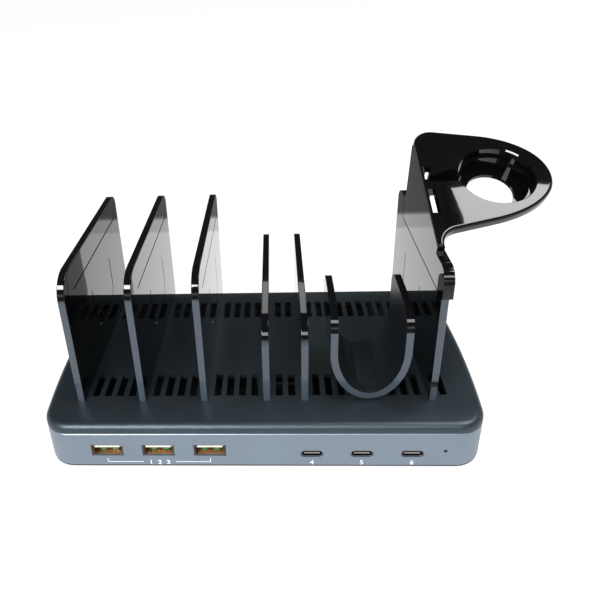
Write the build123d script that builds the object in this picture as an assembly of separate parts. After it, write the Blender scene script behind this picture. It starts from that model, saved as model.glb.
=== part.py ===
from build123d import *
import math
import os

# Charging station organizer: a low base with six USB ports, five plug-in dividers,
# a plug-in U cradle, and a tall divider that carries a tilted watch holder.
# Millimetres. X runs along the base, Y from front to back, Z up.
# The origin is the middle of the bottom plate's underside; the feet reach a little lower.

os.makedirs("parts", exist_ok=True)

# Base outline
base_width = 189.0
base_depth = 102.4
side_bulge = 3.2
corner_radius = 12.5
foot_proud = 1.2
band_height = 18.15
cover_height = 4.4

# Shells
band_wall = 2.0
cover_wall = 2.0
floor_wall = 2.0
floor_rim = 0.8
shell_gap = 0.2
lip_wall = 1.6
lip_depth = 3.0
band_chamfer = 0.5
rim_inset = 0.15
crown_drop = 0.8
crown_run = 10.0
crown_shares = (0.0, 0.25, 0.5, 0.75, 1.0)
shoulder_radius = 3.0
cut_overrun = 1.0

# Slot grid in the cover, for air and for the dividers
slot_count = 30
slot_row_inset = 16.635
slot_width = 3.1
slot_length = 13.6
front_slot_start = 17.7
rear_slot_inset = 12.8

# Dividers
panel_wall = 3.1
panel_start = 14.5
panel_end_inset = 0.4
panel_corner = 10.5
panel_back_corner = 5.5
tall_height = 61.0
short_height = 37.5
panel_edge = 0.35
tab_depth = 6.0
tab_clearance = 0.2
tab_end_clearance = 0.35
tall_slots = (0, 5, 10)
short_slots = (15, 18)
watch_slot_index = 28

# Shallow lines moulded into both faces of the tall dividers
line_width = 0.8
line_depth = 0.3
line_below_top = 10.9
line_front_inset = 11.3
line_back_inset = 7.0
line_leg = 3.0
hoop_back_inset = 25.0
hoop_width = 31.4
hoop_top_below = 24.5
hoop_height = 22.0
hoop_corner = 8.0

# U cradle
cradle_tab_slots = (22, 24)
cradle_width = 33.0
cradle_wall = 3.0
cradle_bow = 24.0
cradle_lift = 1.0
cradle_height = 43.0
cradle_length = 35.0
cradle_corner = 9.5
cradle_back_corner = 5.0
cradle_foot_width = 16.0
cradle_foot_inset = 1.0
pad_width = 8.4
pad_thickness = 1.4
pad_inset = 4.5

# Watch holder
saddle_depth = 11.0
saddle_roof = 2.0
saddle_inner_wall = 0.9
saddle_outer_wall = 0.9
saddle_back_inset = 14.0
saddle_clearance = 0.15
saddle_seam = 0.7
saddle_corner_clearance = 0.4
watch_panel_corner = 5.0
flange_wall = 3.0
holder_tilt = 25.5
holder_front = 28.8
holder_rise = 5.6
plate_wall = 3.6
plate_edge = 1.4
plate_reach = 30.0
plate_end_reach = 22.85
plate_middle = 34.3
plate_tip_rise = 0.4
plate_front_half = 24.5
plate_front_run = 5.7
plate_front_taper = 14.0
plate_back_half = 24.6
plate_back_run = 3.5
plate_back_taper = 10.1
plate_curve_share = 0.59
plate_root_radius = 8.0
plate_lead = 3.0
plate_back_radius = 8.0
flange_overlap = 2.6
cup_rim_radius = 15.75
cup_rim_edge = 0.5
cup_radius = 14.2
cup_step_depth = 4.5
cup_depth = 11.2
cup_floor = 1.6
cup_hole_radius = 10.0
cup_wall = 1.5
channel_width = 6.5
channel_depth = 6.5
channel_wall = 1.3
channel_exit = 1.2
channel_bend = 9.4
channel_bend_middle = 5.0
channel_bend_rise = 3.4
channel_mouth = 1.7
clip_slot_length = 12.9
clip_slot_start = 13.8
upper_slot_length = 7.4
upper_slot_start = 32.3
clip_slot_depth = 10.0
clip_slot_wall = 1.1
clip_slot_reach = 1.2
notch_height = 2.6
notch_depth = 1.0
notch_rise = 7.0

# USB ports
usb_a_width = 13.5
usb_a_height = 6.16
usb_a_shares = (-0.6862, -0.4564, -0.2266)
usb_a_z = 8.93
usb_a_length = 13.0
usb_a_shell_gap = 0.2
usb_a_shell = 0.35
usb_a_tongue_width = 11.1
usb_a_tongue_wall = 1.84
usb_a_tongue_length = 8.4
usb_a_tongue_drop = 0.95
usb_a_window_width = 2.6
usb_a_window_length = 5.0
usb_a_window_spacing = 5.2
usb_a_window_setback = 2.6
usb_c_width = 9.5
usb_c_height = 3.66
usb_c_shares = (0.2226, 0.4406, 0.6586)
usb_c_z = 7.05
usb_c_length = 8.0
usb_c_shell_gap = 0.2
usb_c_shell = 0.3
usb_c_tongue_width = 6.7
usb_c_tongue_wall = 0.7
usb_c_tongue_length = 5.0
port_setback = 0.4
port_block = 2.5

# Status light
light_share = 0.799
light_z = 8.6
light_radius = 0.75
light_gap = 0.05
led_width = 1.6
led_length = 1.6

# Mains inlet at the back, a two-pin figure-eight socket
inlet_share = 0.4868
inlet_width = 19.0
inlet_height = 11.0
inlet_depth = 13.4
inlet_gap = 0.15
inlet_lobe_radius = 4.2
inlet_lobe_spacing = 8.6
inlet_recess = 10.8
inlet_pin_radius = 1.18
inlet_pin_length = 9.0
inlet_pin_foot = 1.0

# Circuit board
board_end_gap = 18.5
board_wall = 1.6
board_top = 5.4
board_back_gap = 15.4
board_front_gap = 0.4
board_corner = 2.0
post_radius = 2.6
post_inset_x = 6.0
post_inset_y = 7.0
part_gap = 0.3

# Screws
boss_radius = 3.0
screw_radius = 1.25
screw_head_radius = 2.4
screw_head_height = 1.2
screw_fit = 0.05
screw_length = 11.0
boss_inset_x = 14.5
boss_inset_y = 9.6
boss_back_inset = 7.5
board_screw_radius = 1.0
board_screw_head_radius = 1.9
board_screw_head_height = 0.9
board_screw_length = 3.0

# Feet
foot_radius = 5.0
foot_recess = 0.8
foot_inset_x = 26.0
foot_inset_y = 12.0
foot_edge = 0.4

# Parts on the board
core_width = 24.0
core_depth = 19.0
core_height = 12.5
core_leg = 5.0
winding_height = 7.6
winding_proud = 1.2
winding_edge = 0.3
capacitor_radius = 5.0
capacitor_height = 12.0
capacitor_spacing = 11.5
capacitor_edge = 0.5
sink_width = 30.0
sink_wall = 1.6
sink_height = 11.5
sink_fin_depth = 5.0
sink_fin_wall = 1.2
sink_fin_count = 6
choke_radius = 6.5
choke_bore = 2.6
choke_height = 6.0
chip_width = 6.0
chip_height = 1.3
sink_core_gap = 3.4
core_choke_gap = 2.78
choke_capacitor_gap = 5.22

# Heights and places that follow from the sizes
half_width = base_width / 2
half_depth = base_depth / 2
slot_pitch = (base_width - 2 * slot_row_inset) / (slot_count - 1)
rear_slot_start = base_depth - rear_slot_inset - slot_length
panel_end = base_depth - panel_end_inset
saddle_end = panel_end - saddle_back_inset
light_x = light_share * half_width
inlet_x = inlet_share * half_width
band_base = floor_rim
seam_z = band_height
platform_z = seam_z + cover_height
floor_top = floor_wall
ceiling_z = platform_z - cover_wall
lip_inset = band_wall + shell_gap
board_z = board_top
front_face = -half_depth
inner_front = front_face + lip_inset


def from_front(distance):
    """Y of a place that is measured back from the base's front face."""
    return distance - half_depth


def slot_x(index):
    """X of one position of the slot grid."""
    return (index - (slot_count - 1) / 2) * slot_pitch


def block(x_low, x_high, y_low, y_high, z_low, z_high):
    """Box between two corners."""
    size = Vector(x_high - x_low, y_high - y_low, z_high - z_low)
    middle = Vector(x_low + x_high, y_low + y_high, z_low + z_high) * 0.5
    return Pos(*middle) * Box(*size)


def centred(x, y, width, depth, z_low, z_high):
    """Upright box about a plan centre, between two heights."""
    return Pos(x, y, (z_low + z_high) / 2) * Box(width, depth, z_high - z_low)


def post(x, y, z_low, z_high, radius):
    """Upright cylinder between two heights."""
    return Pos(x, y, (z_low + z_high) / 2) * Cylinder(radius, z_high - z_low)


def plan(inset):
    """Outline of the base: straight front and back, gently bowed sides, round corners."""
    end_x = half_width - side_bulge - inset
    end_y = half_depth - inset
    mid_x = half_width - inset
    edges = [
        Line((-end_x, -end_y), (end_x, -end_y)),
        ThreePointArc((end_x, -end_y), (mid_x, 0), (end_x, end_y)),
        Line((end_x, end_y), (-end_x, end_y)),
        ThreePointArc((-end_x, end_y), (-mid_x, 0), (-end_x, -end_y)),
    ]
    face = make_face(edges)
    return fillet(face.vertices(), corner_radius - inset)


def slab(inset, z_low, z_high):
    """Upright solid with the base's outline."""
    return Pos(0, 0, z_low) * extrude(plan(inset), z_high - z_low)


def ring(inset, wall, z_low, z_high):
    """Upright wall that follows the base's outline."""
    return slab(inset, z_low, z_high) - slab(inset + wall, z_low - cut_overrun, z_high + cut_overrun)


def side_outline(start, end, bottom, top, front_radius, back_radius):
    """Panel outline seen from the side, with its two upper corners rounded."""
    y_front = from_front(start)
    y_back = from_front(end)
    front_slope = front_radius * (1 - math.sqrt(0.5))
    back_slope = back_radius * (1 - math.sqrt(0.5))
    edges = [
        Line((y_front, bottom), (y_front, top - front_radius)),
        ThreePointArc((y_front, top - front_radius), (y_front + front_slope, top - front_slope),
                      (y_front + front_radius, top)),
        Line((y_front + front_radius, top), (y_back - back_radius, top)),
        ThreePointArc((y_back - back_radius, top), (y_back - back_slope, top - back_slope),
                      (y_back, top - back_radius)),
        Line((y_back, top - back_radius), (y_back, bottom)),
        Line((y_back, bottom), (y_front, bottom)),
    ]
    return make_face(edges)


def crowned_slab(z_low, z_high):
    """Upright solid whose top falls away gently to a rounded edge, as a parabola over crown_run."""
    wall_top = z_high - crown_drop
    levels = [Pos(0, 0, z_high - crown_drop * (1 - share) ** 2) * plan(crown_run * share)
              for share in crown_shares]
    body = slab(0, z_low, wall_top) + loft(levels)
    rim = body.edges().filter_by_position(Axis.Z, wall_top, wall_top)
    return fillet(rim, shoulder_radius)


def across(face, x_low, x_high):
    """Extrudes a side outline, drawn as (y, z), between two X places."""
    plane = Plane(origin=(x_low, 0, 0), x_dir=(0, 1, 0), z_dir=(1, 0, 0))
    return plane.location * extrude(face, x_high - x_low)


def soften(solid, radius):
    """Rounds the long edges round a panel's two faces, but not the edge that it stands on."""
    lowest = solid.bounding_box().min.Z
    faces = [solid.faces().sort_by(Axis.X)[0], solid.faces().sort_by(Axis.X)[-1]]
    edges = [edge for face in faces for edge in face.edges() if edge.center().Z > lowest + radius]
    return fillet(edges, radius)


def slot_tab(x, start):
    """Tab under a divider that plugs into one slot of the grid."""
    half = slot_width / 2 - tab_clearance
    y_low = from_front(start + tab_end_clearance)
    y_high = from_front(start + slot_length - tab_end_clearance)
    return block(x - half, x + half, y_low, y_high, platform_z - tab_depth, platform_z)


def panel(x, top, front_radius):
    """Plain divider with a tab for the front row of slots and one for the rear row."""
    outline = side_outline(panel_start, panel_end, platform_z, top, front_radius, panel_back_corner)
    body = soften(across(outline, x - panel_wall / 2, x + panel_wall / 2), panel_edge)
    return body + slot_tab(x, front_slot_start) + slot_tab(x, rear_slot_start)


def moulded_lines(top):
    """Straight line with a short leg, and hoop, drawn as (y, z), that are cut into a tall divider's faces."""
    level = top - line_below_top
    line_start = panel_start + line_front_inset
    line_end = panel_end - line_back_inset
    line_middle = from_front((line_start + line_end) / 2)
    straight = Pos(line_middle, level) * Rectangle(line_end - line_start, line_width)
    leg_y = from_front(line_end - line_width / 2)
    straight += Pos(leg_y, level + line_leg / 2) * Rectangle(line_width, line_leg)
    hoop_top = top - hoop_top_below
    hoop_bottom = hoop_top - hoop_height
    right = from_front(panel_end - hoop_back_inset)
    left = right - hoop_width
    middle = ((left + right) / 2, hoop_bottom + hoop_height / 2)
    outer = Pos(*middle) * RectangleRounded(hoop_width, hoop_height, hoop_corner)
    inner = Pos(*middle) * RectangleRounded(hoop_width - 2 * line_width, hoop_height - 2 * line_width,
                                            hoop_corner - line_width)
    upper = Pos(middle[0], hoop_top) * Rectangle(hoop_width + cut_overrun, 2 * hoop_corner)
    legs = [Pos(side, hoop_top - hoop_corner / 2) * Rectangle(line_width, hoop_corner)
            for side in (left + line_width / 2, right - line_width / 2)]
    return [straight, outer - inner - upper] + legs


def face_cuts(x, top):
    """The moulded lines as shallow cuts into both faces of the divider at x."""
    cuts = []
    for face in moulded_lines(top):
        for outer in (x - panel_wall / 2, x + panel_wall / 2):
            cuts.append(across(face, outer - line_depth, outer + line_depth))
    return cuts


nodes = {}

# Side band: a satin metal frame with the port openings in its front
band = ring(0, band_wall, band_base, seam_z)
band = chamfer(band.faces().sort_by(Axis.Z)[-1].outer_wire().edges(), band_chamfer)

usb_a_places = [share * half_width for share in usb_a_shares]
usb_c_places = [share * half_width for share in usb_c_shares]
usb_a_level = usb_a_z
usb_c_level = usb_c_z
wall_low = front_face - cut_overrun
wall_high = inner_front + lip_wall + cut_overrun


def front_pill(width, height, x, z, y_low, y_high):
    """Solid with a pill outline in the front face's plane."""
    outline = SlotOverall(width, height)
    plane = Plane(origin=(x, y_low, z), x_dir=(1, 0, 0), z_dir=(0, 1, 0))
    return plane.location * extrude(outline, y_high - y_low)


port_cuts = []
for x in usb_a_places:
    port_cuts.append(block(x - usb_a_width / 2, x + usb_a_width / 2, wall_low, wall_high,
                           usb_a_level - usb_a_height / 2, usb_a_level + usb_a_height / 2))
for x in usb_c_places:
    port_cuts.append(front_pill(usb_c_width, usb_c_height, x, usb_c_level, wall_low, wall_high))
light_level = light_z
light_plane = Plane(origin=(light_x, wall_low, light_level), x_dir=(1, 0, 0), z_dir=(0, 1, 0))
port_cuts.append(light_plane.location * extrude(Circle(light_radius), wall_high - wall_low))
inlet_low = board_z
inlet_level = inlet_low + inlet_height / 2
back_low = half_depth - lip_inset - lip_wall - cut_overrun
inlet_cut = block(inlet_x - inlet_width / 2, inlet_x + inlet_width / 2, back_low, half_depth + cut_overrun,
                  inlet_low, inlet_low + inlet_height)
nodes["side_band"] = band - port_cuts - inlet_cut

# Top cover: the black shell with the platform, two rows of slots, a lip and screw bosses
cover = crowned_slab(seam_z, platform_z)
cover -= slab(lip_inset + lip_wall, seam_z - cut_overrun, ceiling_z)
cover += ring(lip_inset, lip_wall, seam_z - lip_depth, seam_z)
boss_places = [(side * (half_width - boss_inset_x), end * (half_depth - boss_inset_y))
               for side in (-1, 1) for end in (-1, 1)]
boss_places.append((0, half_depth - boss_back_inset))
for x, y in boss_places:
    cover += post(x, y, floor_top, ceiling_z, boss_radius)
for x, y in boss_places:
    cover -= post(x, y, floor_top - cut_overrun, floor_top + screw_length, screw_radius + screw_fit)
slot_cuts = []
for index in range(slot_count):
    for start in (front_slot_start, rear_slot_start):
        slot_cuts.append(block(slot_x(index) - slot_width / 2, slot_x(index) + slot_width / 2,
                               from_front(start), from_front(start + slot_length),
                               ceiling_z - cut_overrun, platform_z + cut_overrun))
nodes["top_cover"] = cover - slot_cuts - inlet_cut

# Bottom plate: a thin rim that shows as a dark line, a floor, and posts for the board
plate = slab(rim_inset, 0, band_base)
plate += slab(lip_inset, 0, floor_top)
board_half = half_width - board_end_gap
board_front_y = inner_front + board_front_gap
board_back_y = half_depth - board_back_gap
post_places = [(side * (board_half - post_inset_x), y) for side in (-1, 1)
               for y in (board_front_y + post_inset_y * 3, board_back_y - post_inset_y)]
for x, y in post_places:
    plate += post(x, y, floor_top, board_z - board_wall, post_radius)
for x, y in post_places:
    plate -= post(x, y, floor_rim, board_z, board_screw_radius + screw_fit)
for x, y in boss_places:
    plate -= post(x, y, -cut_overrun, floor_top + cut_overrun, screw_radius + screw_fit)
    plate -= post(x, y, -cut_overrun, screw_head_height, screw_head_radius + screw_fit)
foot_places = [(side * (half_width - foot_inset_x), end * (half_depth - foot_inset_y))
               for side in (-1, 1) for end in (-1, 1)]
for x, y in foot_places:
    plate -= post(x, y, -cut_overrun, foot_recess, foot_radius)
nodes["bottom_plate"] = plate

# Rubber feet, stuck into shallow round recesses
feet = []
for x, y in foot_places:
    foot = post(x, y, -foot_proud, foot_recess, foot_radius)
    feet.append(chamfer(foot.edges().sort_by(Axis.Z)[0], foot_edge))
nodes["rubber_feet"] = Compound(children=feet)

# Screws that hold the bottom plate, the band and the cover together
cover_screws = [post(x, y, 0, screw_head_height, screw_head_radius)
                + post(x, y, screw_head_height, floor_top + screw_length - cut_overrun, screw_radius)
                for x, y in boss_places]
nodes["cover_screws"] = Compound(children=cover_screws)

# Main circuit board and its screws
board = block(-board_half, board_half, board_front_y, board_back_y, board_z - board_wall, board_z)
board = fillet(board.edges().filter_by(Axis.Z), board_corner)
for x, y in boss_places:
    board -= post(x, y, board_z - board_wall - cut_overrun, board_z + cut_overrun, boss_radius + part_gap)
for x, y in post_places:
    board -= post(x, y, board_z - board_wall - cut_overrun, board_z + cut_overrun,
                  board_screw_radius + screw_fit)
nodes["main_board"] = board
board_screws = [post(x, y, board_z, board_z + board_screw_head_height, board_screw_head_radius)
                + post(x, y, board_z - board_screw_length, board_z, board_screw_radius)
                for x, y in post_places]
nodes["board_screws"] = Compound(children=board_screws)

# USB-A sockets: a folded metal shell with spring windows, and a plastic tongue
shell_front = front_face + port_setback
for number, x in enumerate(usb_a_places, start=1):
    half_w = usb_a_width / 2 - usb_a_shell_gap
    half_h = usb_a_height / 2 - usb_a_shell_gap
    shell_back = shell_front + usb_a_length
    low = usb_a_level - half_h
    high = usb_a_level + half_h
    shell = block(x - half_w, x + half_w, shell_front, shell_back, low, high)
    inner_w = half_w - usb_a_shell
    inner_low = low + usb_a_shell
    inner_high = high - usb_a_shell
    shell -= block(x - inner_w, x + inner_w, shell_front - cut_overrun, shell_back + cut_overrun,
                   inner_low, inner_high)
    window_front = shell_front + usb_a_window_setback
    for side in (-1, 1):
        window_x = x + side * usb_a_window_spacing / 2
        shell -= block(window_x - usb_a_window_width / 2, window_x + usb_a_window_width / 2, window_front,
                       window_front + usb_a_window_length, low - cut_overrun, high + cut_overrun)
        leg_x = x + side * (half_w - usb_a_shell / 2)
        shell += block(leg_x - usb_a_shell / 2, leg_x + usb_a_shell / 2, shell_back - port_block, shell_back,
                       board_z, low)
    nodes[f"usb_a_shell_{number}"] = shell
    tongue = block(x - inner_w, x + inner_w, shell_back - port_block, shell_back, inner_low, inner_high)
    tongue_high = inner_high - usb_a_tongue_drop
    tongue += block(x - usb_a_tongue_width / 2, x + usb_a_tongue_width / 2,
                    shell_back - port_block - usb_a_tongue_length, shell_back - port_block,
                    tongue_high - usb_a_tongue_wall, tongue_high)
    nodes[f"usb_a_tongue_{number}"] = tongue

# USB-C sockets: a drawn pill-shaped shell and a thin tongue
for number, x in enumerate(usb_c_places, start=1):
    outer_w = usb_c_width - 2 * usb_c_shell_gap
    outer_h = usb_c_height - 2 * usb_c_shell_gap
    shell_back = shell_front + usb_c_length
    inner_w = outer_w - 2 * usb_c_shell
    inner_h = outer_h - 2 * usb_c_shell
    shell = front_pill(outer_w, outer_h, x, usb_c_level, shell_front, shell_back)
    shell -= front_pill(inner_w, inner_h, x, usb_c_level, shell_front - cut_overrun, shell_back + cut_overrun)
    nodes[f"usb_c_shell_{number}"] = shell
    tongue = front_pill(inner_w, inner_h, x, usb_c_level, shell_back - port_block, shell_back)
    tongue += block(x - usb_c_tongue_width / 2, x + usb_c_tongue_width / 2,
                    shell_back - port_block - usb_c_tongue_length, shell_back - port_block,
                    usb_c_level - usb_c_tongue_wall / 2, usb_c_level + usb_c_tongue_wall / 2)
    nodes[f"usb_c_tongue_{number}"] = tongue

# Status light: a clear pin in the band, with the light-emitting chip behind it on the board
pin_plane = Plane(origin=(light_x, shell_front, light_level), x_dir=(1, 0, 0), z_dir=(0, 1, 0))
pin_end = board_front_y + led_length
nodes["light_pin"] = pin_plane.location * extrude(Circle(light_radius - light_gap), pin_end - shell_front)
nodes["status_light"] = block(light_x - led_width / 2, light_x + led_width / 2, pin_end, pin_end + led_length,
                              board_z, light_level + led_width / 2)

# Mains inlet: a plastic body with a figure-eight recess, and its two pins
inlet_back = half_depth
inlet_front = half_depth - inlet_depth
half_inlet = inlet_width / 2 - inlet_gap
body_low = inlet_low + inlet_gap
body_high = inlet_low + inlet_height - inlet_gap
inlet = block(inlet_x - half_inlet, inlet_x + half_inlet, inlet_front, inlet_back, body_low, body_high)
inlet += block(inlet_x - half_inlet, inlet_x + half_inlet, inlet_front, half_depth - lip_inset - lip_wall,
               floor_top, body_low)
lobe_plane = Plane(origin=(inlet_x, inlet_back - inlet_recess, inlet_level), x_dir=(1, 0, 0), z_dir=(0, 1, 0))
lobes = SlotCenterToCenter(inlet_lobe_spacing, 2 * inlet_lobe_radius)
inlet -= lobe_plane.location * extrude(lobes, inlet_recess + cut_overrun)
pin_places = [inlet_x + side * inlet_lobe_spacing / 2 for side in (-1, 1)]
pin_root = inlet_back - inlet_recess - inlet_pin_foot
pins = []
for x in pin_places:
    plane = Plane(origin=(x, pin_root, inlet_level), x_dir=(1, 0, 0), z_dir=(0, 1, 0))
    inlet -= plane.location * extrude(Circle(inlet_pin_radius), inlet_pin_foot)
    pin = plane.location * extrude(Circle(inlet_pin_radius), inlet_pin_foot + inlet_pin_length)
    pins.append(fillet(pin.edges().sort_by(Axis.Y)[-1], inlet_pin_radius / 2))
nodes["mains_inlet"] = inlet
nodes["mains_pins"] = Compound(children=pins)

# Power parts on the board, in a row beside the transformer, between the two slot rows
middle_low = from_front(front_slot_start + slot_length)
middle_high = from_front(rear_slot_start)


def between_rows(share):
    """Y at a share of the way from the front slot row to the rear one."""
    return middle_low + share * (middle_high - middle_low)


core_x_share = 0.12
core_y_share = 0.5
core_x = core_x_share * board_half
core_y = between_rows(core_y_share)
sink_x = core_x - core_width / 2 - sink_core_gap - sink_width / 2
choke_x = core_x + core_width / 2 + core_choke_gap + choke_radius
capacitor_x = choke_x + choke_radius + choke_capacitor_gap + capacitor_radius
core_middle_z = board_z + core_height / 2
window_low = core_middle_z - winding_height / 2
window_high = core_middle_z + winding_height / 2
window_width = core_width - 2 * core_leg
core = centred(core_x, core_y, core_width, core_depth, board_z, board_z + core_height)
core -= centred(core_x, core_y, window_width, core_depth + cut_overrun, window_low, window_high)
nodes["transformer_core"] = core
winding = centred(core_x, core_y, window_width, core_depth + 2 * winding_proud, window_low, window_high)
nodes["transformer_winding"] = fillet(winding.edges().filter_by(Axis.Y), winding_edge)

capacitor_y_share = 0.3
capacitor_y = between_rows(capacitor_y_share)
capacitors = []
for step in (-1, 0, 1):
    can = post(capacitor_x, capacitor_y + step * capacitor_spacing + capacitor_spacing / 2, board_z,
               board_z + capacitor_height, capacitor_radius)
    capacitors.append(fillet(can.edges().sort_by(Axis.Z)[-1], capacitor_edge))
nodes["bulk_capacitors"] = Compound(children=capacitors)

sink_y_shares = (0.25, 0.75)
sink_top = board_z + sink_height
fin_pitch = (sink_width - sink_fin_wall) / (sink_fin_count - 1)
sinks = []
for share in sink_y_shares:
    y = between_rows(share)
    sink = centred(sink_x, y, sink_width, sink_wall, board_z, sink_top)
    for fin in range(sink_fin_count):
        fin_x = sink_x - (sink_width - sink_fin_wall) / 2 + fin * fin_pitch
        sink += centred(fin_x, y + sink_fin_depth / 2, sink_fin_wall, sink_fin_depth, board_z, sink_top)
    sinks.append(sink)
nodes["heat_sinks"] = Compound(children=sinks)

choke_y_share = 0.7
choke_y = between_rows(choke_y_share)
choke = post(choke_x, choke_y, board_z, board_z + choke_height, choke_radius)
choke -= post(choke_x, choke_y, board_z - cut_overrun, board_z + choke_height + cut_overrun, choke_bore)
nodes["line_choke"] = choke

chip_row_y = board_front_y + usb_a_length + chip_width
chips = [centred(x, chip_row_y, chip_width, chip_width, board_z, board_z + chip_height)
         for x in usb_a_places + usb_c_places]
nodes["port_chips"] = Compound(children=chips)

# Plug-in dividers: three tall ones with moulded lines, and two short ones
tall_top = platform_z + tall_height
short_top = platform_z + short_height
for number, index in enumerate(tall_slots, start=1):
    x = slot_x(index)
    nodes[f"tall_divider_{number}"] = panel(x, tall_top, panel_corner) - face_cuts(x, tall_top)
for number, index in enumerate(short_slots, start=1):
    nodes[f"short_divider_{number}"] = panel(slot_x(index), short_top, panel_corner)

# U cradle: a trough with an elliptical floor, on a foot with two tabs
cradle_x = (slot_x(cradle_tab_slots[0]) + slot_x(cradle_tab_slots[-1])) / 2
cradle_start = from_front(panel_start)
cradle_base = platform_z + cradle_lift
cradle_top = platform_z + cradle_height
outer_half = cradle_width / 2
inner_half = outer_half - cradle_wall
bow_z = cradle_base + cradle_bow


def u_face(half, bow, top):
    """Upright U outline as (x, z): half an ellipse below, straight legs above."""
    arc = EllipticalCenterArc((cradle_x, bow_z), half, bow, start_angle=180, arc_size=180)
    edges = [arc, Line((cradle_x + half, bow_z), (cradle_x + half, top)),
             Line((cradle_x + half, top), (cradle_x - half, top)),
             Line((cradle_x - half, top), (cradle_x - half, bow_z))]
    return make_face(edges)


def along(face, y_low, y_high):
    """Extrudes an outline drawn as (x, z) between two Y places."""
    plane = Plane(origin=(0, y_high, 0), x_dir=(1, 0, 0), z_dir=(0, -1, 0))
    return plane.location * extrude(face, y_high - y_low)


cradle_end = cradle_start + cradle_length
hollow = along(u_face(inner_half, cradle_bow - cradle_wall, cradle_top + cut_overrun),
               cradle_start - cut_overrun, cradle_end + cut_overrun)
trough = along(u_face(outer_half, cradle_bow, cradle_top), cradle_start, cradle_end)
side_view = side_outline(panel_start, panel_start + cradle_length, platform_z, cradle_top, cradle_corner,
                         cradle_back_corner)
trough = trough & across(side_view, cradle_x - outer_half - cut_overrun, cradle_x + outer_half + cut_overrun)
foot_low = from_front(front_slot_start - cradle_foot_inset)
foot_high = from_front(front_slot_start + slot_length + cradle_foot_inset)
trough += block(cradle_x - cradle_foot_width / 2, cradle_x + cradle_foot_width / 2, foot_low, foot_high,
                platform_z, cradle_base + cradle_wall)
cradle = trough - hollow
for index in cradle_tab_slots:
    cradle += slot_tab(slot_x(index), front_slot_start)
nodes["u_cradle"] = cradle
pad_low_z = cradle_base + cradle_wall
pad_block = block(cradle_x - pad_width / 2, cradle_x + pad_width / 2, cradle_start + pad_inset,
                  cradle_end - pad_inset / 2, cradle_base, pad_low_z + pad_thickness)
nodes["cradle_pad"] = pad_block & hollow

# Watch divider: a tall divider with its upper band cut back on the inner side for the saddle
watch_x = slot_x(watch_slot_index)
watch_left = watch_x - panel_wall / 2
watch_right = watch_x + panel_wall / 2
saddle_z = tall_top - saddle_depth
watch_panel = panel(watch_x, tall_top, watch_panel_corner)
rebate = saddle_inner_wall + saddle_clearance
watch_panel -= block(watch_left - cut_overrun, watch_left + rebate, from_front(panel_start) - cut_overrun,
                     from_front(saddle_end) + saddle_seam, saddle_z, tall_top + cut_overrun)
watch_panel -= [across(face, outer - line_depth, outer + line_depth) for face in moulded_lines(tall_top)[1:]
                for outer in (watch_left, watch_right)]
notch_z = platform_z + notch_rise
watch_panel -= centred(watch_x, from_front(panel_start), panel_wall + cut_overrun, 2 * notch_depth,
                       notch_z, notch_z + notch_height)
nodes["watch_divider"] = watch_panel

# Watch holder: saddle over the watch divider, upright flange, and a tilted plate with a cup
saddle_outer = watch_right + saddle_clearance + saddle_outer_wall
saddle_start = panel_start - saddle_clearance - saddle_outer_wall
saddle_top = tall_top + saddle_roof
saddle_radius = watch_panel_corner + saddle_outer_wall
saddle_low = saddle_z + saddle_seam
saddle_face = side_outline(saddle_start, saddle_end, saddle_low, saddle_top, saddle_radius, saddle_roof)
saddle = across(saddle_face, watch_left, saddle_outer)
cavity_face = side_outline(panel_start - saddle_clearance, panel_end, saddle_low - cut_overrun, tall_top,
                           watch_panel_corner - saddle_corner_clearance, panel_corner)
saddle -= across(cavity_face, watch_left + saddle_inner_wall, watch_right + saddle_clearance)

tilt = math.radians(holder_tilt)
plate_origin_y = from_front(holder_front)
plate_origin_z = saddle_top + holder_rise
plate_plane = Plane(origin=(watch_left, plate_origin_y, plate_origin_z), x_dir=(1, 0, 0),
                    z_dir=(0, -math.sin(tilt), math.cos(tilt)))
cup_x = plate_reach + panel_wall / 2
front_taper = math.radians(plate_front_taper)
back_taper = math.radians(plate_back_taper)
front_turn = Vector(cup_x - plate_front_run, plate_middle - plate_front_half)
back_turn = Vector(cup_x - plate_back_run, plate_middle + plate_back_half)
plate_tip = Vector(cup_x + plate_end_reach, plate_middle + plate_tip_rise)
curve_arm = plate_curve_share * plate_end_reach
tip_arm = Vector(0, curve_arm)
front_arm = Vector(curve_arm * math.cos(front_taper), curve_arm * math.sin(front_taper))
back_arm = Vector(curve_arm * math.cos(back_taper), -curve_arm * math.sin(back_taper))
root_y = front_turn.Y - (front_turn.X - flange_wall) * math.tan(front_taper)
back_y = back_turn.Y + back_turn.X * math.tan(back_taper)
plate_edges = [
    Line((0, -plate_lead), (flange_wall, -plate_lead)),
    Line((flange_wall, -plate_lead), (flange_wall, root_y)),
    Line((flange_wall, root_y), front_turn),
    Bezier(front_turn, front_turn + front_arm, plate_tip - tip_arm, plate_tip),
    Bezier(plate_tip, plate_tip + tip_arm, back_turn + back_arm, back_turn),
    Line(back_turn, (0, back_y)),
    Line((0, back_y), (0, -plate_lead)),
]
plate_face = make_face(plate_edges)
root_corner = plate_face.vertices().sort_by_distance((flange_wall, root_y, 0))[0]
plate_face = fillet(root_corner, plate_root_radius)
back_corner = plate_face.vertices().sort_by_distance((0, back_y, 0))[0]
plate_face = fillet(back_corner, plate_back_radius)
plate_solid = Pos(0, 0, -plate_wall) * extrude(plate_face, plate_wall)
plate_solid = fillet(plate_solid.faces().sort_by(Axis.Z)[-1].outer_wire().edges(), plate_edge)
step_bottom = -cup_step_depth - channel_wall
cup_bottom = -cup_depth - cup_floor


def cup_disc(radius, z_low, z_high):
    """Disc on the cup's axis, in the plate's own frame."""
    return post(cup_x, plate_middle, z_low, z_high, radius)


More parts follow.
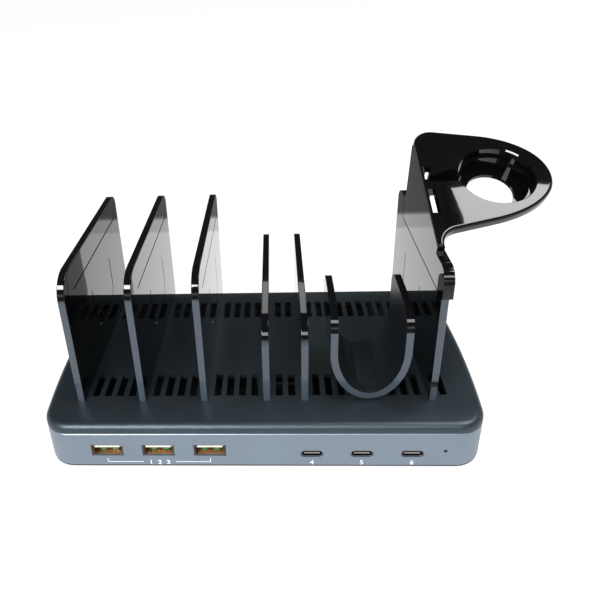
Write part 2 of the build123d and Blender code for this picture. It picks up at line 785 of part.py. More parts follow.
plate_solid += cup_disc(cup_rim_radius + cup_wall, step_bottom, -plate_edge)
plate_solid += cup_disc(cup_radius + cup_wall, cup_bottom, -plate_edge)
channel_half = channel_width / 2
trough_half = channel_half + channel_wall
plate_solid += block(flange_wall + channel_exit, cup_x - cup_radius, plate_middle - trough_half,
                     plate_middle + trough_half, -channel_depth - channel_wall, -plate_edge)
rim_disc = cup_disc(cup_rim_radius, -cup_step_depth, cut_overrun)
plate_solid -= rim_disc
plate_solid -= cup_disc(cup_radius, -cup_depth, cut_overrun)
plate_solid -= cup_disc(cup_hole_radius, cup_bottom - cut_overrun, cut_overrun)
rim_edges = [edge for edge in plate_solid.edges().filter_by(GeomType.CIRCLE)
             if abs(edge.radius - cup_rim_radius) < screw_fit and abs(edge.center().Z) < screw_fit]
plate_solid = chamfer(rim_edges, cup_rim_edge)
channel_low = plate_middle - channel_half
channel_high = plate_middle + channel_half
channel_inner = cup_x - cup_radius + cut_overrun
channel_edges = [
    Line((flange_wall, channel_low), (channel_inner, channel_low)),
    Line((channel_inner, channel_low), (channel_inner, channel_high)),
    Line((channel_inner, channel_high), (flange_wall + channel_bend, channel_high)),
    ThreePointArc((flange_wall + channel_bend, channel_high),
                  (flange_wall + channel_bend_middle, channel_low + channel_mouth + channel_bend_rise),
                  (flange_wall, channel_low + channel_mouth)),
    Line((flange_wall, channel_low + channel_mouth), (flange_wall, channel_low)),
]
plate_solid -= Pos(0, 0, -channel_depth) * extrude(make_face(channel_edges), channel_depth + cut_overrun)


def below_plate(run, depth):
    """(y, z) of a place that is run along the plate's slope and depth under its top."""
    return (plate_origin_y + run * math.cos(tilt) + depth * math.sin(tilt),
            plate_origin_z + run * math.sin(tilt) - depth * math.cos(tilt))


flange_end = back_y - plate_back_radius / math.tan((math.pi / 2 - back_taper) / 2) + flange_overlap
front_foot = below_plate(-plate_lead, plate_wall)
back_foot = below_plate(flange_end, plate_wall)
flange_points = [
    (front_foot[0], saddle_top),
    front_foot,
    back_foot,
    (from_front(saddle_end) - saddle_roof, saddle_top),
]
flange = across(make_face(Polyline(*flange_points, close=True)), watch_left, watch_left + flange_wall)
clip_slots = [block(clip_slot_wall, flange_wall + clip_slot_reach, start, start + length,
                    -clip_slot_depth, cut_overrun)
              for start, length in ((clip_slot_start, clip_slot_length),
                                    (upper_slot_start, upper_slot_length))]
nodes["holder_saddle"] = saddle
nodes["holder_flange"] = flange - [plate_plane.location * cut for cut in clip_slots]
nodes["holder_plate"] = plate_plane.location * (plate_solid - clip_slots)

for name, solid in nodes.items():
    export_step(solid, f"parts/{name}.step")
    size = solid.bounding_box().size
    print(f"{name}: {len(solid.solids())} solids, {size.X:.1f} x {size.Y:.1f} x {size.Z:.1f} mm")
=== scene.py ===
import math
import bmesh
import bpy
import numpy as np
from mathutils import Matrix, Vector


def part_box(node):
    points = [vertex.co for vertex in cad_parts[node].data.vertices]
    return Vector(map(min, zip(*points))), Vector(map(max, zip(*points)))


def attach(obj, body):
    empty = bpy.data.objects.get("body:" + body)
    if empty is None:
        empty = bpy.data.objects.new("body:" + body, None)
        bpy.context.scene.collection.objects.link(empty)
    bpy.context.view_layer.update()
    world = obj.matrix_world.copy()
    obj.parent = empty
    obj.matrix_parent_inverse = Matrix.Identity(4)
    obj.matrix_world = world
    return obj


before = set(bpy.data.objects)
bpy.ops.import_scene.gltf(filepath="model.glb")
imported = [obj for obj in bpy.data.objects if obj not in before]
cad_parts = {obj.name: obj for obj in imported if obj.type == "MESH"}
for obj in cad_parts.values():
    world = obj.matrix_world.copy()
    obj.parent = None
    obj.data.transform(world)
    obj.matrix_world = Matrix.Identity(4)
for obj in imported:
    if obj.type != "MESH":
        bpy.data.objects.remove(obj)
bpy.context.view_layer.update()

# Camera: the photograph's view, a little above the dividers and almost square to the port side.
# Its place and turn come from edges of the base, measured in a picture 600 pixels wide.
picture_width = 600.0
picture_focus = 589.4
picture_middle = (245.3, 222.0)
camera_place = Vector((0.00844, -0.23059, 0.20075))
camera_yaw, camera_pitch, camera_roll = np.radians((-3.405, 25.660, 2.621))
nearest_seen = 0.01


def placed(name, data):
    """An object of that name in the scene, at the origin, which shows the data."""
    thing = bpy.data.objects.new(name, data)
    bpy.context.scene.collection.objects.link(thing)
    return thing


level_share = math.cos(camera_pitch)
forward = Vector((
    math.sin(camera_yaw) * level_share,
    math.cos(camera_yaw) * level_share,
    -math.sin(camera_pitch),
))
level_right = Vector((math.cos(camera_yaw), -math.sin(camera_yaw), 0.0))
level_down = forward.cross(level_right)
right = math.cos(camera_roll) * level_right + math.sin(camera_roll) * level_down
down = math.cos(camera_roll) * level_down - math.sin(camera_roll) * level_right
camera_turn = Matrix((right, -down, -forward)).transposed()
camera_data = bpy.data.cameras.new("camera")
camera_data.lens = picture_focus / picture_width * camera_data.sensor_width
camera_data.shift_x = (picture_width / 2 - picture_middle[0]) / picture_width
camera_data.shift_y = (picture_middle[1] - picture_width / 2) / picture_width
camera_data.clip_start = nearest_seen
camera = placed("camera", camera_data)
camera.matrix_world = Matrix.Translation(camera_place) @ camera_turn.to_4x4()
bpy.context.scene.camera = camera
bpy.context.scene.view_settings.view_transform = "Standard"

# Room: a soft pale sky lights the object. The camera sees plain white, and polished faces see
# a pale horizon under a dark ceiling, as round a table top in a studio.
plain_white = (1.0, 1.0, 1.0, 1.0)
sky_tint = (0.93, 0.96, 1.0, 1.0)
sky_strength = 0.55
ceiling_grey = 0.035
horizon_top = 0.10
ceiling_start = 0.21


def set_sockets(node, **values):
    """Sets a node's inputs by name, an underscore standing for a space."""
    for name, value in values.items():
        node.inputs[name.replace("_", " ")].default_value = value


def add_node(tree, kind, **inputs):
    """Adds a node with its inputs set."""
    node = tree.nodes.new(kind)
    set_sockets(node, **inputs)
    return node


def coordinate(tree, source, axis):
    """Socket of the X, Y or Z of one kind of coordinates, such as Object."""
    place = add_node(tree, "ShaderNodeTexCoord")
    axes = add_node(tree, "ShaderNodeSeparateXYZ")
    tree.links.new(place.outputs[source], axes.inputs["Vector"])
    return axes.outputs[axis]


def combined(tree, kind, operation, first, second):
    """Adds a Math or Vector Math node on two inputs, each of them a socket or a plain value."""
    node = add_node(tree, kind)
    node.operation = operation
    for value, socket in zip((first, second), node.inputs):
        if isinstance(value, bpy.types.NodeSocket):
            tree.links.new(value, socket)
        else:
            socket.default_value = value
    return node


def seen_by(tree, *kinds):
    """Socket that is 1 for the kinds of ray named, such as Is Camera Ray, and 0 for the others."""
    ray = add_node(tree, "ShaderNodeLightPath")
    socket = ray.outputs[kinds[0]]
    for kind in kinds[1:]:
        socket = combined(tree, "ShaderNodeMath", "MAXIMUM", socket, ray.outputs[kind]).outputs["Value"]
    return socket


def mix_shaders(tree, share, first, second):
    """Adds a mix of two shaders: first where share is 0, second where it is 1."""
    mix = add_node(tree, "ShaderNodeMixShader")
    tree.links.new(share, mix.inputs["Fac"])
    tree.links.new(first.outputs[0], mix.inputs[1])
    tree.links.new(second.outputs[0], mix.inputs[2])
    return mix


def grey_ramp(tree, value, stops):
    """Socket of a grey that runs straight from each (place, grey) stop to the next as value rises."""
    ramp = add_node(tree, "ShaderNodeValToRGB")
    while len(ramp.color_ramp.elements) < len(stops):
        ramp.color_ramp.elements.new(1.0)
    for element, (place, grey) in zip(ramp.color_ramp.elements, stops):
        element.position = place
        element.color = (grey, grey, grey, 1.0)
    tree.links.new(value, ramp.inputs["Fac"])
    return ramp.outputs["Color"]


world = bpy.data.worlds.new("studio")
world.use_nodes = True
bpy.context.scene.world = world
sky = world.node_tree
sky.nodes.clear()
height = coordinate(sky, "Generated", "Z")
room = add_node(sky, "ShaderNodeBackground")
room_grey = grey_ramp(sky, height, ((horizon_top, 1.0), (ceiling_start, ceiling_grey)))
sky.links.new(room_grey, room.inputs["Color"])
soft_sky = add_node(sky, "ShaderNodeBackground", Color=sky_tint, Strength=sky_strength)
white_sky = add_node(sky, "ShaderNodeBackground", Color=plain_white)
reflected = mix_shaders(sky, seen_by(sky, "Is Glossy Ray"), soft_sky, room)
backdrop = mix_shaders(sky, seen_by(sky, "Is Camera Ray", "Is Transmission Ray"), reflected, white_sky)
sky_out = add_node(sky, "ShaderNodeOutputWorld")
sky.links.new(backdrop.outputs[0], sky_out.inputs["Surface"])

# Floor: a white sheet that the object stands on, with its edges a hand's breadth before and behind it.
# Polished faces show those edges and the dimmer floor beyond. The camera sees white and the shadow.
square_corners = ((-1, -1), (1, -1), (1, 1), (-1, 1))
floor_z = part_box("rubber_feet")[0].z
floor_reach = 3.0
floor_white = (0.92, 0.92, 0.92, 1.0)
shadow_share = 0.2
glow_strength = 1.1
mirror_strength = 0.95
sheet_front = -0.190
sheet_start = -0.150
sheet_end = 0.172
sheet_edge = 0.197
edge_blur = 0.003
front_grey = 0.12
edge_grey = 0.75
beyond_grey = 0.16
sheet_greys = (
    (sheet_front, front_grey),
    (sheet_start, 1.0),
    (sheet_end, 1.0),
    (sheet_end + edge_blur, edge_grey),
    (sheet_edge, edge_grey),
    (sheet_edge + edge_blur, beyond_grey),
)
ramp_offset = 0.5


def flat_sheet(name, corners, material):
    """A flat sheet of the studio with these four corners."""
    mesh = bpy.data.meshes.new(name)
    mesh.from_pydata(corners, [], [(0, 1, 2, 3)])
    mesh.materials.append(material)
    return placed(name, mesh)


floor_paint = bpy.data.materials.new("pale_floor")
floor_paint.use_nodes = True
paint = floor_paint.node_tree
paint.nodes.clear()
ramp_place = combined(paint, "ShaderNodeMath", "ADD", coordinate(paint, "Object", "Y"), ramp_offset)
ramp_stops = [(place + ramp_offset, grey) for place, grey in sheet_greys]
sheet_grey = grey_ramp(paint, ramp_place.outputs["Value"], ramp_stops)
sheet_glow = add_node(paint, "ShaderNodeEmission", Strength=mirror_strength)
paint.links.new(sheet_grey, sheet_glow.inputs["Color"])
matt_floor = add_node(paint, "ShaderNodeBsdfDiffuse", Color=floor_white)
white_glow = add_node(paint, "ShaderNodeEmission", Color=plain_white, Strength=glow_strength)
mirrored = mix_shaders(paint, seen_by(paint, "Is Glossy Ray"), matt_floor, sheet_glow)
seen_floor = seen_by(paint, "Is Camera Ray", "Is Transmission Ray")
white_share = combined(paint, "ShaderNodeMath", "MULTIPLY", seen_floor, 1.0 - shadow_share)
floor_mix = mix_shaders(paint, white_share.outputs["Value"], mirrored, white_glow)
floor_out = add_node(paint, "ShaderNodeOutputMaterial")
paint.links.new(floor_mix.outputs[0], floor_out.inputs["Surface"])
floor_corners = [(x * floor_reach, y * floor_reach, floor_z) for x, y in square_corners]
floor = flat_sheet("floor", floor_corners, floor_paint)

# Lamps: four soft boxes, two in front, a small one behind and one high on the right. Each is given by
# its middle, what it faces, its two sides and its brightness. A black flag cuts a corner off the last
# one, which slants the edge of its reflection in the holder's plate.
soft_boxes = (
    ("front_box", (-0.38, -0.71, 0.65), (-0.07, -0.05, 0.03), (0.48, 0.27), 20.0),
    ("fill_box", (0.14, -0.78, 0.62), (0.05, -0.05, 0.03), (0.48, 0.24), 5.0),
    ("back_box", (0.03, 0.74, 0.585), (0.0, -0.03, 0.03), (0.12, 0.12), 1.7),
    ("right_box", (0.69, -0.012, 1.25), (0.69, -0.012, 0.0), (0.54, 0.70), 8.5),
)
flag_level = 1.24
flag_outline = ((0.405, 0.355), (0.405, 0.230), (0.456, 0.230), (0.420, 0.355))
flag_black = (0.0, 0.0, 0.0, 1.0)


def new_finish(name, **sockets):
    """A material with some of its shader's inputs set."""
    material = bpy.data.materials.new(name)
    material.use_nodes = True
    set_sockets(material.node_tree.nodes["Principled BSDF"], **sockets)
    return material


for lamp_name, place, aim, sides, brightness in soft_boxes:
    lamp_data = bpy.data.lights.new(lamp_name, "AREA")
    lamp_data.shape = "RECTANGLE"
    lamp_data.size, lamp_data.size_y = sides
    lamp_data.energy = brightness * math.pi * sides[0] * sides[1]
    lamp = placed(lamp_name, lamp_data)
    lamp.location = place
    lamp.rotation_euler = (Vector(aim) - Vector(place)).to_track_quat("-Z", "Y").to_euler()
flag_cloth = new_finish("flag_cloth", Base_Color=flag_black)
flag = flat_sheet("lamp_flag", [(x, y, flag_level) for x, y in flag_outline], flag_cloth)

# Bottom plate: a shallow tray of black ABS with the posts that carry the board. It is moulded with
# a fine spark texture, and screwed to the top cover from below.
spark_grain = 0.0003
grain_depth_share = 0.3
drift_size = 0.015
drift_detail = 3.0
drift_tint = 0.06


def tinted(tree, share, colour, spread):
    """Socket of a colour that wanders by spread either side of colour, as share goes from 0 to 1."""
    tint = add_node(tree, "ShaderNodeMix")
    tint.data_type = "RGBA"
    tint.inputs["A"].default_value = (*(c * (1.0 - spread) for c in colour), 1.0)
    tint.inputs["B"].default_value = (*(c * (1.0 + spread) for c in colour), 1.0)
    tree.links.new(share, tint.inputs["Factor"])
    return tint.outputs["Result"]


def spanned(tree, share, low, high, start=0.0, end=1.0):
    """Socket that goes from low to high as share goes from start to end, and stays within them."""
    span = add_node(tree, "ShaderNodeMapRange", From_Min=start, From_Max=end, To_Min=low, To_Max=high)
    tree.links.new(share, span.inputs["Value"])
    return span.outputs["Result"]


def noise_on(tree, size, detail=2.0):
    """Socket of a noise on the piece's own coordinates, with lumps of that size in metres."""
    place = add_node(tree, "ShaderNodeTexCoord")
    noise = add_node(tree, "ShaderNodeTexNoise", Scale=1.0 / size, Detail=detail)
    tree.links.new(place.outputs["Object"], noise.inputs["Vector"])
    return noise.outputs["Fac"]


def bumped(tree, height, strength, depth):
    """Socket of a normal that is raised by height, from 0 to 1, times depth in metres."""
    bump = add_node(tree, "ShaderNodeBump", Strength=strength, Distance=depth)
    tree.links.new(height, bump.inputs["Height"])
    return bump.outputs["Normal"]


def moulded(name, colour, rough, grain=spark_grain, strength=0.2, spread=0.04, **sockets):
    """Plastic or metal whose tint and roughness drift over drift_size, with a bump of the grain's size."""
    material = new_finish(name, **sockets)
    tree = material.node_tree
    shader = tree.nodes["Principled BSDF"]
    drift = noise_on(tree, drift_size, drift_detail)
    tree.links.new(tinted(tree, drift, colour, drift_tint), shader.inputs["Base Color"])
    tree.links.new(spanned(tree, drift, rough - spread, rough + spread), shader.inputs["Roughness"])
    texture = bumped(tree, noise_on(tree, grain), strength, grain * grain_depth_share)
    tree.links.new(texture, shader.inputs["Normal"])
    return material


def coat(material, *names):
    """Gives CAD nodes a material."""
    for name in names:
        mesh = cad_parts[name].data
        mesh.materials.clear()
        mesh.materials.append(material)


dark_plastic = moulded("dark_plastic", (0.02, 0.02, 0.021), 0.5)
coat(dark_plastic, "bottom_plate")

# Feet: four round pads of black rubber, stuck into shallow recesses in the bottom plate. They are
# dull, and they hold the base still when a thing is lifted out.
rubber = moulded("rubber", (0.03, 0.03, 0.03), 0.75, grain=0.0004, strength=0.3)
coat(rubber, "rubber_feet")

# Circuit board: glass cloth and resin under solder mask, on four posts of the bottom plate. Its near
# black green is painted shade, for the dark inside of the base seen through the slots.
# Four zinc plated screws hold it.
# The mask is painted near black: painted shade inside the base.
shaded_solder_mask = moulded("shaded_solder_mask", (0.004, 0.014, 0.010), 0.4, grain=0.0012, strength=0.08)
zinc = moulded("zinc", (0.5, 0.5, 0.5), 0.3, strength=0.05, Metallic=1.0)
coat(shaded_solder_mask, "main_board")
coat(zinc, "board_screws")

# Power parts, soldered to the board: a ferrite core with a copper winding, three sleeved cans, two
# finned heat sinks of extruded aluminium, a ferrite choke, and a chip behind each port. The copper and
# the aluminium are painted near black, as painted shade inside the base.
ferrite = moulded("ferrite", (0.06, 0.06, 0.065), 0.6, strength=0.35)
# The copper and the aluminium are painted near black: painted shade inside the base.
copper = moulded("copper", (0.03, 0.017, 0.012), 0.5, grain=0.0006, strength=0.3, Metallic=0.8)
sleeve = moulded("sleeve", (0.05, 0.06, 0.12), 0.35)
shaded_extrusion = moulded("shaded_extrusion", (0.04, 0.04, 0.042), 0.4, grain=0.0005, strength=0.15, Metallic=1.0)
chip_epoxy = moulded("chip_epoxy", (0.025, 0.025, 0.027), 0.55)
coat(ferrite, "transformer_core", "line_choke")
coat(copper, "transformer_winding")
coat(sleeve, "bulk_capacitors")
coat(shaded_extrusion, "heat_sinks")
coat(chip_epoxy, "port_chips")

# USB-A sockets: a folded nickel plated shell round a cream tongue of nylon with a thin lip in front.
# The shell's cut rim is painted dark grey, as painted shade in the gap between the band and the shell.
# Two sprung fingers are cut out of the shell's floor and lacquered green, and four gilt contacts bow
# down under the tongue.
cream_nylon = moulded("cream_nylon", (0.72, 0.68, 0.58), 0.45, strength=0.08)
nickel = moulded("nickel", (0.72, 0.52, 0.34), 0.3, strength=0.05, Metallic=1.0)
gilt = moulded("gilt", (0.62, 0.42, 0.22), 0.4, strength=0.04, Metallic=1.0)
green_lacquer = moulded("green_lacquer", (0.05, 0.26, 0.12), 0.35, strength=0.04, Metallic=0.3)
rim_shade_grey = (0.13, 0.13, 0.15, 1.0)
rim_shade_depth = 0.00005
ribbon_spots = 17
finger_width = 0.0022
finger_wall = 0.00025
finger_spacing = 0.0052
finger_setback = 0.0006
finger_lift = 0.0001
finger_runs = (0.0, 0.0018, 0.0036, 0.0050)
finger_rises = (0.0, 0.0009, 0.0014, 0.0004)
contact_width = 0.0010
contact_wall = 0.0002
contact_pitch = 0.0021
contact_setback = 0.0010
contact_drop = 0.0029
contact_runs = (0.0, 0.0022, 0.0044, 0.0064)
contact_rises = (0.0, -0.0009, -0.0005, 0.0)
lip_width = 0.0106
lip_wall = 0.00085
lip_depth = 0.0021
lip_drop = 0.00071


def front_edge(tree, front_y, depth):
    """Socket that is 1 at a piece's front, at front_y, and falls to 0 in the second half of depth."""
    return spanned(tree, coordinate(tree, "Object", "Y"), 1.0, 0.0, front_y + depth / 2, front_y + depth)


def overlaid(tree, share, under, over):
    """Socket of under, a socket, where share is 0, and of over, a number or a colour, where it is 1."""
    layer = add_node(tree, "ShaderNodeMix")
    layer.data_type = "FLOAT" if isinstance(over, float) else "RGBA"
    layer.inputs["B"].default_value = over
    tree.links.new(share, layer.inputs["Factor"])
    tree.links.new(under, layer.inputs["A"])
    return layer.outputs["Result"]


def ribbons(name, starts, runs, rises, width, wall, body, material):
    """Bent strips of one size, side by side along X.

    A strip's middle line runs along Y from its start by each of the runs in turn, and its height is
    the polynomial through the rises: a cubic for four of them, a straight line for two. Each section
    across is a rectangle of width by wall, and both ends are closed.
    """
    spots = np.linspace(0.0, 1.0, ribbon_spots)
    knots = np.linspace(0.0, 1.0, len(runs))
    run = np.interp(spots, knots, runs)
    rise = np.polynomial.Polynomial.fit(knots, rises, len(rises) - 1)(spots)
    across = np.array(square_corners) * (width / 2, wall / 2)
    starts = np.asarray(starts, float)
    rings = np.empty((len(starts), len(spots), len(across), 3))
    rings[..., 0] = starts[:, None, None, 0] + across[None, None, :, 0]
    rings[..., 1] = starts[:, None, None, 1] + run[None, :, None]
    rings[..., 2] = starts[:, None, None, 2] + rise[None, :, None] + across[None, None, :, 1]
    index = np.arange(rings[..., 0].size).reshape(rings.shape[:3])
    turned = np.roll(index, -1, axis=2)
    walls = np.stack((index[:, :-1], index[:, 1:], turned[:, 1:], turned[:, :-1]), axis=-1)
    walls = walls.reshape(len(starts), -1, 4)
    faces = np.concatenate((walls, index[:, :1], index[:, -1:, ::-1]), axis=1)
    mesh = bpy.data.meshes.new(name)
    mesh.from_pydata(rings.reshape(-1, 3).tolist(), [], faces.reshape(-1, 4).tolist())
    mesh.materials.append(material)
    piece = placed(name, mesh)
    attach(piece, body)


# The shell's front rim is painted dark grey: painted shade in the gap between the band and the shell.
nickel_tree = nickel.node_tree
nickel_colour = nickel_tree.nodes["Principled BSDF"].inputs["Base Color"]
rim_shade_mask = front_edge(nickel_tree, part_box("usb_a_shell_1")[0].y, rim_shade_depth)
rim_shaded_colour = overlaid(nickel_tree, rim_shade_mask, nickel_colour.links[0].from_socket, rim_shade_grey)
nickel_tree.links.new(rim_shaded_colour, nickel_colour)
for number in (1, 2, 3):
    coat(nickel, f"usb_a_shell_{number}")
    coat(cream_nylon, f"usb_a_tongue_{number}")
    low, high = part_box(f"usb_a_tongue_{number}")
    middle = (low.x + high.x) / 2
    finger_starts = [(middle + side * finger_spacing / 2, low.y + finger_setback, low.z + finger_lift)
                     for side in (-1, 1)]
    contact_starts = [(middle + step * contact_pitch, low.y + contact_setback, high.z - contact_drop)
                      for step in (-1.5, -0.5, 0.5, 1.5)]
    lip_start = (middle, low.y - lip_depth, high.z - lip_drop)
    ribbons(f"shell_fingers_{number}", finger_starts, finger_runs, finger_rises, finger_width, finger_wall,
            "base", green_lacquer)
    ribbons(f"plug_contacts_{number}", contact_starts, contact_runs, contact_rises, contact_width,
            contact_wall, "base", gilt)
    ribbons(f"tongue_lip_{number}", [lip_start], (0.0, lip_depth), (0.0, 0.0), lip_width, lip_wall,
            "base", cream_nylon)

# USB-C sockets: a drawn steel shell with round ends, and a black tongue of glass filled nylon down
# its middle. A stamped tan plate caps the tongue's front edge.
black_nylon = moulded("black_nylon", (0.012, 0.012, 0.012), 0.42, strength=0.08)
tan_plate = moulded("tan_plate", (0.25, 0.23, 0.20), 0.35, strength=0.08, Metallic=0.4)
bright_steel = moulded("bright_steel", (0.26, 0.27, 0.30), 0.22, strength=0.03, Metallic=1.0)
nose_width = 0.0066
nose_wall = 0.00075
nose_depth = 0.00012
nose_drop = 0.00025
for number in (1, 2, 3):
    coat(bright_steel, f"usb_c_shell_{number}")
    coat(black_nylon, f"usb_c_tongue_{number}")
    low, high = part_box(f"usb_c_tongue_{number}")
    nose_start = ((low.x + high.x) / 2, low.y - nose_depth, (low.z + high.z) / 2 - nose_drop)
    ribbons(f"tongue_nose_{number}", [nose_start], (0.0, nose_depth), (0.0, 0.0), nose_width, nose_wall,
            "base", tan_plate)

# Status light: a small lamp on the board's edge, and a smoked pin that carries its light through
# the band. It is off, so its end is a dark dot.
lamp_resin = moulded("lamp_resin", (0.55, 0.58, 0.60), 0.25)
smoked_pin = moulded("smoked_pin", (0.003, 0.003, 0.003), 0.5, strength=0.05, Specular_IOR_Level=0.15)
coat(lamp_resin, "status_light")
coat(smoked_pin, "light_pin")

# Mains inlet: a moulded two-pin socket of figure-eight shape, held between the band and the board
# at the back. Its pins are nickel plated brass with round ends.
inlet_plastic = moulded("inlet_plastic", (0.018, 0.018, 0.019), 0.38)
pin_metal = moulded("pin_metal", (0.75, 0.70, 0.58), 0.22, strength=0.04, Metallic=1.0)
coat(inlet_plastic, "mains_inlet")
coat(pin_metal, "mains_pins")

# Side band: an ABS frame with rounded corners, sprayed with a satin silver-blue metallic paint.
# It drops over the bottom plate's edge, and the top cover holds it down.
metal_paint = moulded("metal_paint", (0.235, 0.285, 0.345), 0.38, grain=0.00022, strength=0.08,
                      spread=0.03, Metallic=0.7)
coat(metal_paint, "side_band")

# Printed marks: white ink, put on the band's front with a soft pad. A bracket joins the three large
# ports, and plain numbers stand in its gap and under each small port.
white_ink = moulded("white_ink", (0.74, 0.76, 0.79), 0.5, strength=0.05)
band_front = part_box("side_band")[0].y
ink_coat = 0.00003
line_thickness = 0.00034
bracket_ends = (-0.0654, -0.0213)
bracket_gap = (-0.0500, -0.03625)
bracket_level = 0.00248
bracket_top = 0.0045
box_faces = ((0, 1, 5, 4), (1, 3, 7, 5), (3, 2, 6, 7), (2, 0, 4, 6), (4, 5, 7, 6), (0, 2, 3, 1))
digit_height = 0.0024
digit_font_share = 0.73
digit_boldness = 0.00006
digit_level = 0.00235
gap_digit_pitch = 0.0037
merge_reach = 1e-7


def printed(name, mesh):
    """Makes a mesh that already lies on the band a piece of ink."""
    mesh.materials.clear()
    mesh.materials.append(white_ink)
    piece = placed(name, mesh)
    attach(piece, "base")


# Each bar is a box, given by its left, right, lower and upper sides
half_line = line_thickness / 2
bars = []
for end, inner in zip(bracket_ends, bracket_gap):
    leg = end + half_line * math.copysign(1.0, inner - end)
    bars.append((*sorted((end, inner)), bracket_level - half_line, bracket_level + half_line))
    bars.append((leg - half_line, leg + half_line, bracket_level, bracket_top))
bars = np.array(bars)
corners = np.array([(i, j, k) for k in (0, 1) for j in (0, 1) for i in (0, 1)])
bar_x = bars[:, corners[:, 0]]
bar_y = np.tile(band_front - ink_coat * (1 - corners[:, 1]), (len(bars), 1))
bar_z = bars[:, 2 + corners[:, 2]]
bracket_points = np.stack((bar_x, bar_y, bar_z), axis=-1).reshape(-1, 3)
bracket_faces = np.array(box_faces) + len(corners) * np.arange(len(bars))[:, None, None]
bracket = bpy.data.meshes.new("port_bracket")
bracket.from_pydata(bracket_points.tolist(), [], bracket_faces.reshape(-1, 4).tolist())
printed("port_bracket", bracket)

gap_middle = sum(bracket_gap) / 2
digit_places = [gap_middle + step * gap_digit_pitch for step in (-1, 0, 1)]
for number in (1, 2, 3):
    low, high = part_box(f"usb_c_shell_{number}")
    digit_places.append((low.x + high.x) / 2)
for number, place in enumerate(digit_places, start=1):
    letters = bpy.data.curves.new("digit", "FONT")
    letters.body = str(number)
    letters.size = digit_height / digit_font_share
    letters.align_x = "CENTER"
    letters.extrude = ink_coat / 2
    letters.offset = digit_boldness
    text = placed("digit", letters)
    digit = bpy.data.meshes.new_from_object(text)
    bpy.data.objects.remove(text)
    flat = np.empty(len(digit.vertices) * 3)
    digit.vertices.foreach_get("co", flat)
    x, y, z = flat.reshape(-1, 3).T
    upright = (x + place, band_front - ink_coat / 2 - z, y + digit_level - digit_height / 2)
    digit.vertices.foreach_set("co", np.stack(upright, axis=-1).ravel())
    shape = bmesh.new()
    shape.from_mesh(digit)
    bmesh.ops.remove_doubles(shape, verts=shape.verts, dist=merge_reach)
    shape.to_mesh(digit)
    shape.free()
    printed(f"port_number_{number}", digit)

# Top cover: a black ABS shell with a rounded shoulder and two rows of slots, in a fine satin
# texture. Five screws from below pull it down on the band.
satin_black = moulded("satin_black", (0.070, 0.092, 0.108), 0.42, grain=0.00028, strength=0.12,
                      spread=0.03, Metallic=0.85)
coat(satin_black, "top_cover")
coat(zinc, "cover_screws")

# Dividers: flat plates of black ABS, polished like a piano lid, with two tabs that drop into the
# slots. The narrow front edges are satin, and their slate grey is a painted reflection of the floor in
# front of them.
lid_black = (0.003, 0.003, 0.0035)
lid_tint = 0.1
lid_specular = 0.1
lid_rough = (0.03, 0.07)
lid_coat_rough = 0.02
wave_size = 0.012
wave_detail = 1.0
wave_strength = 0.25
wave_depth = 0.00012
haze_size = 0.02
haze_detail = 3.0
edge_rough = 0.45
floor_reflection_slate = (0.046, 0.061, 0.077, 1.0)
edge_skin = 0.00006
short_edge_skin = 0.0007
panel_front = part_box("tall_divider_1")[0].y


def piano_black(name, edge_y=None, edge_depth=edge_skin):
    """Black plastic under a clear gloss, with a very faint long wave in its surface.

    Where edge_y is given, the edge that faces forward at that Y is satin, in a slate grey that is a
    painted reflection of the floor in front, as far back as edge_depth.
    """
    material = new_finish(name, Specular_IOR_Level=lid_specular, Coat_Weight=1.0,
                          Coat_Roughness=lid_coat_rough)
    tree = material.node_tree
    shader = tree.nodes["Principled BSDF"]
    wave = bumped(tree, noise_on(tree, wave_size, wave_detail), wave_strength, wave_depth)
    tree.links.new(wave, shader.inputs["Normal"])
    tree.links.new(wave, shader.inputs["Coat Normal"])
    haze = noise_on(tree, haze_size, haze_detail)
    rough = spanned(tree, haze, *lid_rough)
    black = tinted(tree, haze, lid_black, lid_tint)
    if edge_y is not None:
        # The front edge's slate grey is a painted reflection of the floor in front.
        edge = front_edge(tree, edge_y, edge_depth)
        rough = overlaid(tree, edge, rough, edge_rough)
        black = overlaid(tree, edge, black, floor_reflection_slate)
    tree.links.new(rough, shader.inputs["Roughness"])
    tree.links.new(black, shader.inputs["Base Color"])
    return material


gloss_black = piano_black("gloss_black")
edged_black = piano_black("edged_black", panel_front)
# The short dividers carry the painted reflection further up their front rounding.
deep_edged_black = piano_black("deep_edged_black", panel_front, short_edge_skin)
for number in (1, 2, 3):
    coat(edged_black, f"tall_divider_{number}")
for number in (1, 2):
    coat(deep_edged_black, f"short_divider_{number}")

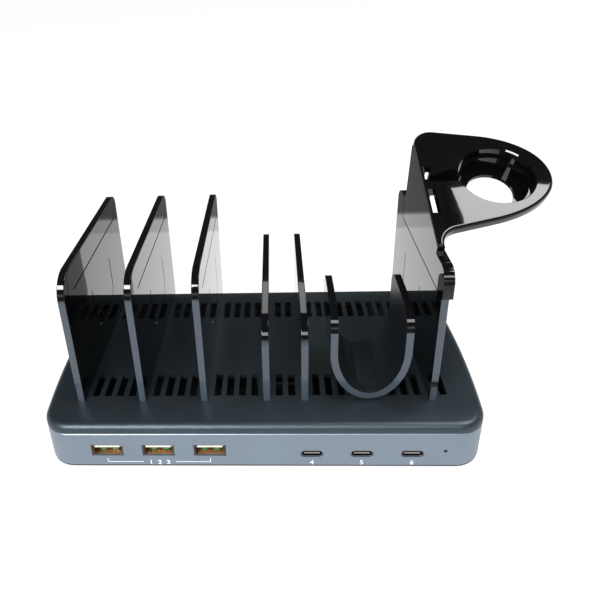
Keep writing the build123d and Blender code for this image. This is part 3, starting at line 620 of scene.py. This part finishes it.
# Cradle: a U of the same polished plastic on a foot with two tabs, for earphones in their case. Its
# inside is satin, and a soft dark strip is glued along its floor.
cradle_felt = moulded("cradle_felt", (0.008, 0.012, 0.016), 0.55, strength=0.3, Specular_IOR_Level=0.3)
cradle_low, cradle_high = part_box("u_cradle")
cradle_axis_height = 0.0475
cradle_axis = ((cradle_low.x + cradle_high.x) / 2, 0.0, cradle_axis_height)
across_axis = (1.0, 0.0, 1.0)
inside_from = -0.004
outside_from = -0.002
inside_grey = (0.008, 0.011, 0.013, 1.0)
inside_rough = 0.36
inside_bump = 0.12
inside_bump_depth = 0.0001

# A face is inside where its normal points back along the spoke from the U's axis
cradle_black = piano_black("cradle_black", panel_front)
cradle_tree = cradle_black.node_tree
cradle_place = add_node(cradle_tree, "ShaderNodeTexCoord")
spoke = combined(cradle_tree, "ShaderNodeVectorMath", "SUBTRACT",
                 cradle_place.outputs["Object"], cradle_axis)
flat_spoke = combined(cradle_tree, "ShaderNodeVectorMath", "MULTIPLY",
                      spoke.outputs["Vector"], across_axis)
outward = combined(cradle_tree, "ShaderNodeVectorMath", "DOT_PRODUCT",
                   flat_spoke.outputs["Vector"], cradle_place.outputs["Normal"])
inside = spanned(cradle_tree, outward.outputs["Value"], 1.0, 0.0, inside_from, outside_from)
satin_inside = add_node(cradle_tree, "ShaderNodeBsdfPrincipled", Base_Color=inside_grey,
                        Roughness=inside_rough)
satin_inside.name = "satin_inside"
satin_texture = bumped(cradle_tree, noise_on(cradle_tree, spark_grain), inside_bump, inside_bump_depth)
cradle_tree.links.new(satin_texture, satin_inside.inputs["Normal"])
cradle_finish = mix_shaders(cradle_tree, inside, cradle_tree.nodes["Principled BSDF"], satin_inside)
cradle_tree.links.new(cradle_finish.outputs[0], cradle_tree.nodes["Material Output"].inputs["Surface"])
coat(cradle_black, "u_cradle")
coat(cradle_felt, "cradle_pad")

# Watch divider and holder: a tall divider with its upper band cut back, and over it the saddle,
# flange and tilted plate of the charger's holder, polished alike.
coat(edged_black, "watch_divider")
coat(gloss_black, "holder_saddle", "holder_flange", "holder_plate")
